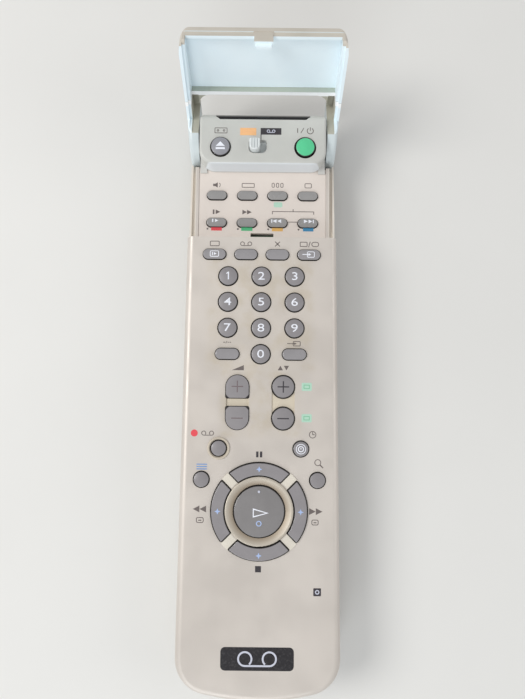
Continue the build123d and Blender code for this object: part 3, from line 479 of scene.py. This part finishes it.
def dome(x0, y0, top, key_radius):
    """The domed top of a round key."""
    sag = 0.3 + 0.03 * key_radius
    return ball(x0, y0, top, (key_radius**2 + sag**2) / (2 * sag))


def shallow_dome(x0, y0, top, width):
    """The shallower top of a key with one flat end."""
    return ball(x0, y0, top, 3.6 * width)


def roller(y0, top, depth):
    """The crowned top of a pill key."""
    radius = 1.7 * depth
    return lambda x, y: top - radius + math.sqrt(radius**2 - (y - y0)**2)


# ---- outlines of marks -------------------------------------------------------------------
def rect(x0, y0, x1, y1):
    return [(x0, y0), (x1, y0), (x1, y1), (x0, y1)]


def disc(x, y, radius, count=32):
    turns = [2 * math.pi * step / count for step in range(count)]
    return [(x + radius * math.cos(turn), y + radius * math.sin(turn)) for turn in turns]


def pad(x0, y0, x1, y1, radius, steps=5):
    """A rectangle with round corners."""
    centres = ((x1 - radius, y1 - radius), (x0 + radius, y1 - radius),
               (x0 + radius, y0 + radius), (x1 - radius, y0 + radius))
    points = []
    for corner, (x, y) in enumerate(centres):
        for step in range(steps + 1):
            turn = math.pi / 2 * (corner + step / steps)
            points.append((x + radius * math.cos(turn), y + radius * math.sin(turn)))
    return points


def hoop(x, y, outer, inner):
    return disc(x, y, outer), disc(x, y, inner)


def box_line(x0, y0, x1, y1, radius, width):
    """The outline of a rectangle with round corners."""
    inner_radius = max(radius - width, 0.02)
    inner = pad(x0 + width, y0 + width, x1 - width, y1 - width, inner_radius)
    return pad(x0, y0, x1, y1, radius), inner


def stroke(x0, y0, x1, y1, width):
    """A straight line of some width."""
    length = math.hypot(x1 - x0, y1 - y0)
    nx = -(y1 - y0) / length * width / 2
    ny = (x1 - x0) / length * width / 2
    return [(x0 - nx, y0 - ny), (x1 - nx, y1 - ny), (x1 + nx, y1 + ny), (x0 + nx, y0 + ny)]


def arrow(x, y, size, way):
    """A solid triangle that points left (-1) or right (1)."""
    return [(x - way * size, y - size), (x + way * size, y), (x - way * size, y + size)][::way]


def arc_line(x, y, radius, width, start, end, steps=24):
    """Part of a circle drawn as a line, angles in degrees: its outer and inner edge."""
    turns = [math.radians(start + (end - start) * step / steps) for step in range(steps + 1)]
    edges = []
    for reach in (radius + width / 2, radius - width / 2):
        edges.append([(x + reach * math.cos(turn), y + reach * math.sin(turn)) for turn in turns])
    return edges


def star(x, y):
    """A small star with four points."""
    points = []
    for step in range(8):
        radius = 0.42 if step % 2 else 1.05
        turn = math.pi / 4 * step
        points.append((x + radius * math.cos(turn), y + radius * math.sin(turn)))
    return points


def reels(x, y, size, width):
    """Two tape reels joined by a line; each ring stops where the line meets it."""
    radius = 0.62 * size
    meet = math.degrees(math.asin(1 - width / radius))
    middle = radius - width / 2
    return [arc_line(x - size, y, middle, width, -meet, 270),
            arc_line(x + size, y, middle, width, -90, 180 + meet),
            stroke(x - size, y - middle, x + size, y - middle, width)]


def tape(x, y, width, depth, line):
    """A cassette: a box with two hubs."""
    hub = depth / 5
    return [box_line(x - width / 2, y - depth / 2, x + width / 2, y + depth / 2, 0.3, line),
            hoop(x - width / 4.2, y, hub, hub - line), hoop(x + width / 4.2, y, hub, hub - line)]


# ---- meshes ------------------------------------------------------------------------------
def new_object(name, data):
    """An object linked into the scene."""
    item = bpy.data.objects.new(name, data)
    bpy.context.scene.collection.objects.link(item)
    return item


def take_mesh(source):
    """The mesh that a text or node object comes to; the object itself is removed."""
    bpy.context.view_layer.update()
    graph = bpy.context.evaluated_depsgraph_get()
    mesh = bpy.data.meshes.new_from_object(source.evaluated_get(graph))
    bpy.data.objects.remove(source)
    return mesh


def finish_mesh(work, name, material, body):
    """Turns a closed bmesh into a piece and hands it to its body."""
    bmesh.ops.recalc_face_normals(work, faces=work.faces)
    mesh = bpy.data.meshes.new(name)
    work.to_mesh(mesh)
    work.free()
    mesh.materials.append(material)
    piece = new_object(name, mesh)
    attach(piece, body)


def grid_cut(work):
    """Divides a flat mark by an even grid, so that it can follow a dome."""
    for axis in (0, 1):
        places = [vert.co[axis] for vert in work.verts]
        way = Vector((1 - axis, axis, 0))
        first, last = math.ceil(min(places) / CURVE_STEP), math.floor(max(places) / CURVE_STEP)
        for step in range(first, last + 1):
            parts = list(work.verts) + list(work.edges) + list(work.faces)
            bmesh.ops.bisect_plane(work, geom=parts, plane_co=way * step * CURVE_STEP,
                                   plane_no=way, dist=MERGE_DISTANCE)


def thicken(work, surface, lift):
    """Gives a flat mark its thickness and lays it on its surface."""
    heights = [surface(vert.co.x, vert.co.y) for vert in work.verts]
    if max(heights) - min(heights) > LEVEL_ENOUGH:
        grid_cut(work)
    bmesh.ops.triangulate(work, faces=work.faces)
    upper = list(work.verts)
    grown = bmesh.ops.extrude_face_region(work, geom=list(work.faces), use_keep_orig=True)
    lower = [part for part in grown["geom"] if isinstance(part, bmesh.types.BMVert)]
    for verts, rise in ((upper, lift), (lower, -INK_SINK)):
        for vert in verts:
            x, y = vert.co.x, vert.co.y
            vert.co = (x * MM, y * MM, (surface(x, y) + rise) * MM)


def band(work, outer, inner, closed):
    """Fills the strip between two lines of points."""
    outer, inner = [[work.verts.new((x, y, 0)) for x, y in line] for line in (outer, inner)]
    for i in range(len(outer) if closed else len(outer) - 1):
        j = (i + 1) % len(outer)
        work.faces.new((outer[i], outer[j], inner[j], inner[i]))


def stamp(name, shapes, body, material, surface, lift=INK_LIFT):
    """A thin solid mark. Each shape is an outline, a closed band (a pair) or an open one."""
    work = bmesh.new()
    for shape in shapes:
        if isinstance(shape[0], list):
            band(work, *shape, closed=isinstance(shape, tuple))
        else:
            work.faces.new([work.verts.new((x, y, 0)) for x, y in shape])
    thicken(work, surface, lift)
    finish_mesh(work, name, material, body)


def figure(name, text, x, y, body, surface):
    """A printed number laid on a key."""
    curve = bpy.data.curves.new(name, "FONT")
    curve.body = text
    curve.size = FIGURE_SIZE
    curve.align_x = "CENTER"
    curve.align_y = "CENTER"
    curve.offset = FIGURE_BOLD
    curve.fill_mode = "FRONT"
    curve.resolution_u = 5
    flat = take_mesh(new_object(name + "_curve", curve))
    work = bmesh.new()
    work.from_mesh(flat)
    bpy.data.meshes.remove(flat)
    bmesh.ops.remove_doubles(work, verts=work.verts, dist=MERGE_DISTANCE)
    xs = [vert.co.x for vert in work.verts]
    ys = [vert.co.y for vert in work.verts]
    middle = ((min(xs) + max(xs)) / 2, (min(ys) + max(ys)) / 2)
    for vert in work.verts:
        vert.co = (x + (vert.co.x - middle[0]) * FIGURE_WIDE, y + vert.co.y - middle[1], 0)
    thicken(work, surface, INK_LIFT)
    finish_mesh(work, name, INK_WHITE, body)


# ---- numbers and marks on the keys -------------------------------------------------------
def mark_key(key, name, shapes, surface, material=INK_WHITE, lift=INK_LIFT):
    """A pale mark on one key."""
    stamp(name, shapes, key + "_key", material, surface, lift)


def mark_digit_keys():
    for digit in range(10):
        row, column = divmod(digit - 1, 3) if digit else (3, 1)
        x = (column - 1) * DIGIT_PITCH_X
        y = DIGIT_TOP_Y - row * DIGIT_PITCH_Y
        top = dome(x, y, KEY_TOP, DIGIT_R)
        if digit == 1:
            one = [(x + right, y + up) for right, up in FIGURE_ONE]
            mark_key("digit_1", "number_1", [one], top)
        else:
            figure(f"number_{digit}", str(digit), x, y + 0.1, f"digit_{digit}_key", top)
    y = DIGIT_TOP_Y - DIGIT_PITCH_Y
    pip = disc(0, y + 2.65, 0.32)
    stamp("number_5_pip", [pip], "digit_5_key", FINISHES["key_grey"],
          dome(0, y, KEY_TOP, DIGIT_R), 0.2)


def mark_pair_keys():
    """Plus and minus signs sunk into the volume and programme keys."""
    arm, core = 2.0, 0.2
    for pair, x in (("volume", -PAIR_X), ("programme", PAIR_X)):
        for way, y in (("up", PAIR_PLUS_Y), ("down", PAIR_MINUS_Y)):
            if pair == "volume":
                top, thick, colour = shallow_dome(x, y, KEY_TOP, VOLUME_WIDTH), 0.34, INK_CUT
            else:
                top, thick, colour = dome(x, y, KEY_TOP, PROGRAMME_R), 0.42, INK_DARK
            sign = [stroke(x + a, y, x + b, y, thick)
                    for a, b in ((-arm, -core), (-core, core), (core, arm))]
            if way == "up":
                sign += [stroke(x, y + a, x, y + b, thick) for a, b in ((-arm, -core), (core, arm))]
            key = f"{pair}_{way}"
            stamp(key + "_sign", sign, key + "_key", colour, top, SUNK_LIFT)


def mark_pill_keys():
    """Screen mark on the first pill and input mark on the last."""
    y = PILL_ROW_Y
    crown = roller(y, KEY_TOP, PILL_DEPTH)
    x = -OUTER_PILL_X
    mark_key("display", "display_sign", [
        box_line(x - 1.6, y - 1.05, x + 1.6, y + 1.15, 0.5, DECK_LINE),
        stroke(x - 0.7, y - 0.5, x - 0.7, y + 0.6, 0.32),
        arrow(x + 0.3, y + 0.05, 0.5, 1),
    ], crown)
    x = OUTER_PILL_X
    mark_key("input", "input_sign", [
        box_line(x - 0.7, y - 1.05, x + 2.0, y + 1.15, 0.5, DECK_LINE),
        stroke(x - 2.3, y + 0.05, x - 0.2, y + 0.05, 0.26),
        arrow(x + 0.3, y + 0.05, 0.5, 1),
    ], crown)


def mark_ring():
    """Small stars on the ring's keys, the triangle, the ring and the pip on the play key."""
    for key, x, y in (("pause", -0.1, -25.35), ("rewind", -14.15, -39.6),
                      ("forward", 14.15, -39.6), ("stop", 0.0, -54.2)):
        mark_key(key, key + "_star", [star(x, y)], level(KEY_TOP), INK_SKY)
    top = dome(0, RING_Y, PLAY_TOP, PLAY_R)
    x0, x1, y0, y1 = -2.1, 3.3, -41.5, -38.4
    mid = (y0 + y1) / 2
    edge = [(x0, y0), (x1, mid), (x0, y1)]
    hollow = [(x0 + 0.32, y0 + 0.5), (x1 - 0.95, mid), (x0 + 0.32, y1 - 0.5)]
    mark_key("play", "play_triangle", [(edge, hollow)], top)
    mark_key("play", "confirm_ring", [hoop(-0.05, -43.5, 0.95, 0.62)], top, INK_SKY)
    mark_key("play", "play_pip", [disc(-0.1, -32.9, 0.42)], top, INK_PALE, 0.18)


def mark_small_keys():
    """Clock rings on the timer key, the eject sign, and tape signs on the lower deck row."""
    x, y = TIMER_AT
    mark_key("timer", "timer_sign", [
        hoop(x, y, 1.75, 1.5),
        hoop(x, y, 1.05, 0.72),
        stroke(x, -18.5, x, -17.95, 0.3),
    ], dome(x, y, KEY_TOP, TIMER_R))
    x, y = EJECT_AT
    mark_key("eject", "eject_sign", [
        [(x - 1.65, y - 0.1), (x + 1.65, y - 0.1), (x, y + 1.6)],
        rect(x - 1.65, y - 1.25, x + 1.65, y - 0.6),
    ], dome(x, y, HEAD_KEY_TOP, EJECT_R))

    y = DECK_ROW_Y + 0.6
    crown = roller(DECK_ROW_Y, DECK_KEY_TOP, DECK_PILL_DEPTH)
    x = -OUTER_PILL_X - 0.4
    slow = [rect(x - 1.2, y - 0.6, x - 0.75, y + 0.6), arrow(x + 0.5, y, 0.6, 1)]
    x = INNER_PILL_X - 0.1
    back = [rect(x - 2.1, y - 0.65, x - 1.75, y + 0.65), arrow(x - 0.9, y, 0.7, -1),
            arrow(x + 0.8, y, 0.7, -1)]
    x = OUTER_PILL_X + 0.1
    on = [rect(x + 1.75, y - 0.65, x + 2.1, y + 0.65), arrow(x - 0.8, y, 0.7, 1),
          arrow(x + 0.9, y, 0.7, 1)]
    for number, name, shapes in ((5, "slow_sign", slow), (7, "index_back_sign", back),
                                 (8, "index_on_sign", on)):
        stamp(name, shapes, f"deck_key_{number}", INK_WHITE, crown)


# ---- marks on the case -------------------------------------------------------------------
def marker(face):
    """A function that prints marks on one flat face of the case, grey unless it is told."""
    def mark(name, shapes, material=INK_GREY, slot_name="window_black", lift=INK_LIFT):
        stamp(name, shapes, "case", material, face, lift)

    return mark


def mark_main_cover():
    mark = marker(level(TOP))
    line = COVER_LINE
    mark("volume_wedge", [[(-10.0, 8.5), (-5.8, 8.5), (-5.8, 10.3)]])
    mark("programme_mark", [[(6.0, 8.6), (7.8, 8.6), (6.9, 10.2)],
                            [(9.9, 10.2), (8.1, 10.2), (9.0, 8.6)]])
    mark("record_dot", [disc(-22.6, -13.3, 1.2)], INK_RED, "power_green")
    mark("record_mark", reels(-18.0, -13.3, 1.35, line))
    mark("timer_mark", [hoop(18.2, -13.5, 1.25, 1.0), stroke(18.2, -13.5, 18.2, -12.6, line),
                        stroke(18.2, -13.5, 18.9, -13.5, line)])
    mark("search_mark", [hoop(20.0, -23.0, 1.15, 0.9), stroke(20.8, -23.8, 21.8, -24.8, 0.4)])
    bars = [rect(-21.6, y - 0.16, -18.0, y + 0.16) for y in (-23.9, -24.7, -25.5)]
    mark("menu_mark", bars, INK_BLUE, "hood_silver")
    mark("pause_bars", [rect(-1.2, -21.4, -0.4, -19.4), rect(0.1, -21.4, 0.9, -19.4)], INK_DARK)
    mark("rewind_arrows", [arrow(-21.5, -39.0, 1.12, -1), arrow(-19.2, -39.0, 1.12, -1)])
    mark("rewind_box", [box_line(-21.45, -43.65, -18.85, -41.75, 0.6, line),
                        rect(-20.7, -42.95, -19.6, -42.6)])
    mark("forward_arrows", [arrow(18.2, -39.5, 1.12, 1), arrow(20.5, -39.5, 1.12, 1)])
    mark("forward_box", [box_line(17.9, -44.1, 20.3, -42.2, 0.6, line),
                         rect(18.6, -43.4, 19.6, -43.05)])
    mark("stop_square", [rect(-1.15, -59.85, 0.85, -57.8)], INK_DARK)
    mark("code_square", [pad(18.6, -67.5, 21.2, -64.9, 0.25)], INK_DARK)
    mark("badge", [pad(-12.45, -91.9, 12.15, -84.3, 1.5)], INK_BADGE)

    x = 16.1
    for name, y in (("screen_mark_upper", 2.95), ("screen_mark_lower", -7.85)):
        mark(name, [pad(x - 1.75, y - 1.4, x + 1.75, y + 1.4, 0.4)], INK_MINT, "power_green")
        mark(name + "_sign", [box_line(x - 1.1, y - 0.75, x + 1.1, y + 0.75, 0.2, 0.3)],
             INK_SAGE, "power_green", OVERPRINT_LIFT)

    mark("dash_mark", [rect(-13.1, 18.1, -12.4, 18.35), stroke(-12.2, 17.8, -11.8, 18.7, 0.18),
                       rect(-11.6, 18.1, -11.1, 18.35), rect(-10.9, 18.1, -10.4, 18.35)])
    mark("select_mark", [box_line(11.2, 17.05, 13.9, 18.85, 0.4, line),
                         stroke(9.2, 17.95, 11.6, 17.95, line), arrow(12.1, 17.95, 0.45, 1)])
    y = 53.3
    x = -OUTER_PILL_X
    mark("display_mark", [box_line(x - 1.7, y - 0.95, x + 1.7, y + 0.95, 0.35, line)])
    mark("speed_mark", reels(-INNER_PILL_X, y, 1.3, line))
    x = INNER_PILL_X
    mark("clear_mark", [stroke(x - 0.85, y - 0.85, x + 0.85, y + 0.85, 0.3),
                        stroke(x - 0.85, y + 0.85, x + 0.85, y - 0.85, 0.3)])
    x = OUTER_PILL_X
    mark("input_mark", [box_line(x - 3.2, y - 0.9, x - 0.5, y + 0.9, 0.3, line),
                        stroke(x - 0.1, y - 1.0, x + 0.5, y + 1.0, line),
                        box_line(x + 0.9, y - 0.9, x + 3.6, y + 0.9, 0.9, line)])
    mark("badge_reels", reels(-0.15, -88.1, 4.1, 0.6), INK_PALE, "lever_white", OVERPRINT_LIFT)
    mark("code_dot", [hoop(19.9, -66.2, 0.75, 0.4)], INK_PALE, "lever_white", OVERPRINT_LIFT)


def mark_deck():
    mark = marker(level(DECK))
    line = DECK_LINE
    mark("bar_red", [rect(-18.6, 59.8, -14.7, 61.0)], INK_RED, "power_green")
    mark("bar_green", [rect(-7.6, 59.8, -3.5, 61.05)], INK_GREEN, "power_green")
    mark("bar_amber", [rect(3.6, 59.75, 7.6, 60.95)], INK_AMBER, "power_green")
    mark("bar_blue", [rect(15.0, 59.8, 18.8, 61.05)], INK_SEA, "power_green")
    mark("index_link", [rect(9.5, 63.1, 12.8, 63.35)])
    mark("programme_plus_mark", [pad(4.2, 68.7, 7.35, 70.6, 0.5)], INK_MINT, "power_green")
    mark("screen_box", [box_line(15.5, 76.0, 18.1, 77.85, 0.45, line)])
    x, y = -OUTER_PILL_X, 76.9
    horn = [(x - 0.7, y - 0.45), (x + 0.2, y - 1.0), (x + 0.2, y + 1.0), (x - 0.7, y + 0.45)]
    mark("sound_mark", [rect(x - 1.5, y - 0.45, x - 0.7, y + 0.45), horn,
                        arc_line(x + 0.1, y, 1.0, line, -50, 50)])
    mark("wide_mark", [box_line(-7.6, 76.0, -2.9, 77.7, 0.3, line)])
    mark("counter_mark", [box_line(x, 76.1, x + 1.1, 77.9, 0.5, line) for x in (3.4, 5.0, 6.6)])
    mark("slow_mark", [rect(-18.1, 65.95, -17.5, 67.65), arrow(-16.2, 66.8, 0.85, 1)])
    mark("double_mark", [arrow(-6.4, 66.8, 0.85, 1), arrow(-4.7, 66.8, 0.85, 1)])
    mark("index_bracket", [rect(3.6, 67.0, 19.0, 67.25), rect(3.6, 66.1, 3.85, 67.0),
                           rect(18.75, 66.1, 19.0, 67.0), rect(11.2, 67.25, 11.45, 68.1)])


def mark_head():
    mark = marker(level(TOP))
    line = DECK_LINE
    mark("switch_block_orange", [rect(-8.2, 93.0, -2.4, 95.75)], INK_ORANGE, "power_green")
    mark("switch_block_dark", [rect(-0.85, 93.3, 6.6, 95.75), rect(-0.85, 91.45, -0.55, 93.3)],
         INK_DARK)
    mark("switch_block_reels", reels(2.9, 94.6, 0.95, line), INK_PALE, "lever_white",
         OVERPRINT_LIFT)
    mark("cassette_mark", tape(-15.1, 94.7, 4.6, 2.1, line))
    mark("power_mark", [rect(12.3, 94.1, 12.6, 95.8), stroke(13.6, 94.0, 14.7, 95.9, line),
                        arc_line(17.0, 94.85, 1.1, 0.28, 125, 415),
                        rect(16.86, 94.9, 17.14, 96.15)])


# ---- repeated ticks by geometry nodes ----------------------------------------------------
def tick_row():
    """One small tick beside each colour bar of the deck: a row of discs, as one mesh."""
    tree = bpy.data.node_groups.new("tick_row", "GeometryNodeTree")
    sockets = {}
    for name, kind, value in (
        ("Count", "NodeSocketInt", 4),
        ("Pitch", "NodeSocketFloat", PILL_PITCH * MM),
        ("Radius", "NodeSocketFloat", 0.34 * MM),
        ("Thickness", "NodeSocketFloat", (INK_LIFT + INK_SINK) * MM),
    ):
        item = tree.interface.new_socket(name, in_out="INPUT", socket_type=kind)
        item.default_value = value
        sockets[name] = item.identifier
    tree.interface.new_socket("Geometry", in_out="OUTPUT", socket_type="NodeSocketGeometry")
    inputs = tree.nodes.new("NodeGroupInput")
    outputs = tree.nodes.new("NodeGroupOutput")
    line = tree.nodes.new("GeometryNodeMeshLine")
    offset = tree.nodes.new("ShaderNodeCombineXYZ")
    tick = tree.nodes.new("GeometryNodeMeshCylinder")
    tick.inputs["Vertices"].default_value = 12
    spread = tree.nodes.new("GeometryNodeInstanceOnPoints")
    real = tree.nodes.new("GeometryNodeRealizeInstances")
    paint = tree.nodes.new("GeometryNodeSetMaterial")
    paint.inputs["Material"].default_value = INK_GREY
    for source, target in (
        (inputs.outputs["Count"], line.inputs["Count"]),
        (inputs.outputs["Pitch"], offset.inputs["X"]),
        (offset.outputs[0], line.inputs["Offset"]),
        (inputs.outputs["Radius"], tick.inputs["Radius"]),
        (inputs.outputs["Thickness"], tick.inputs["Depth"]),
        (line.outputs["Mesh"], spread.inputs["Points"]),
        (tick.outputs["Mesh"], spread.inputs["Instance"]),
        (spread.outputs[0], real.inputs[0]),
        (real.outputs[0], paint.inputs["Geometry"]),
        (paint.outputs[0], outputs.inputs[0]),
    ):
        tree.links.new(source, target)
    seed = new_object("tick_seed", bpy.data.meshes.new("tick_seed"))
    modifier = seed.modifiers.new("ticks", "NODES")
    modifier.node_group = tree
    modifier[sockets["Count"]] = 4
    made = take_mesh(seed)
    middle = DECK + (INK_LIFT - INK_SINK) / 2
    made.transform(Matrix.Translation((-19.95 * MM, 60.45 * MM, middle * MM)))
    ticks = new_object("deck_ticks", made)
    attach(ticks, "case")


# ---- floor, light and camera -------------------------------------------------------------
def make_floor():
    """A pale paper floor, a hair below the flat back so that the two don't coincide."""
    mesh = bpy.data.meshes.new("floor")
    mesh.from_pydata([(-2, -2, 0), (2, -2, 0), (2, 2, 0), (-2, 2, 0)], [], [(0, 1, 2, 3)])
    mesh.transform(Matrix.Translation((0, 0, -0.0002)))
    finish = Finish("floor_paper", roughness=0.85)
    finish.colour(finish.mottle(6.0, srgb(222, 221, 218), srgb(226, 225, 222)))
    mesh.materials.append(finish.material)
    floor = new_object("floor", mesh)


def area_light(name, place, target, size, watts, colour):
    """A round lamp that faces its target."""
    lamp = bpy.data.lights.new(name, "AREA")
    lamp.shape = "DISK"
    lamp.size = size
    lamp.energy = watts
    lamp.color = colour
    back = (Vector(place) - Vector(target)).normalized()
    right = Vector((-back.y, back.x, 0)).normalized()
    turn = Matrix((right, back.cross(right), back)).transposed().to_4x4()
    new_object(name, lamp).matrix_world = Matrix.Translation(place) @ turn


def light_scene():
    scene = bpy.context.scene
    scene.view_settings.view_transform = "Standard"
    world = bpy.data.worlds.new("studio")
    world.use_nodes = True
    sky = world.node_tree.nodes["Background"]
    sky.inputs["Color"].default_value = (0.97, 0.98, 1.0, 1.0)
    sky.inputs["Strength"].default_value = 0.45
    scene.world = world
    middle = (0, 0.02, 0)
    area_light("side", (-0.62, 0.10, 0.72), middle, 0.5, 4.8, (1.0, 0.99, 0.965))
    area_light("far_wall", (0.75, 0.05, 0.50), middle, 0.6, 1.4, (1.0, 0.99, 0.97))
    area_light("window", (-0.22, -0.80, 0.46), (0, 0.05, 0.02), 0.7, 3.2, (0.92, 0.97, 1.0))


def place_camera():
    """Almost straight above, the tail towards the viewer."""
    lens = bpy.data.cameras.new("camera")
    lens.sensor_width = SENSOR
    lens.lens = FOCAL_PIXELS * SENSOR / PICTURE_HEIGHT
    lens.clip_start = 0.01
    camera = new_object("camera", lens)
    camera.matrix_world = Matrix((
        (0.99995, -0.01029, -0.00067, 0.000479),
        (0.01020, 0.99653, -0.08256, -0.00147),
        (0.00152, 0.08255, 0.99659, 0.23256),
        (0, 0, 0, 1),
    ))
    bpy.context.scene.camera = camera


place_camera()
light_scene()
make_floor()
mark_digit_keys()
mark_pair_keys()
mark_pill_keys()
mark_ring()
mark_small_keys()
mark_main_cover()
mark_deck()
mark_head()
tick_row()
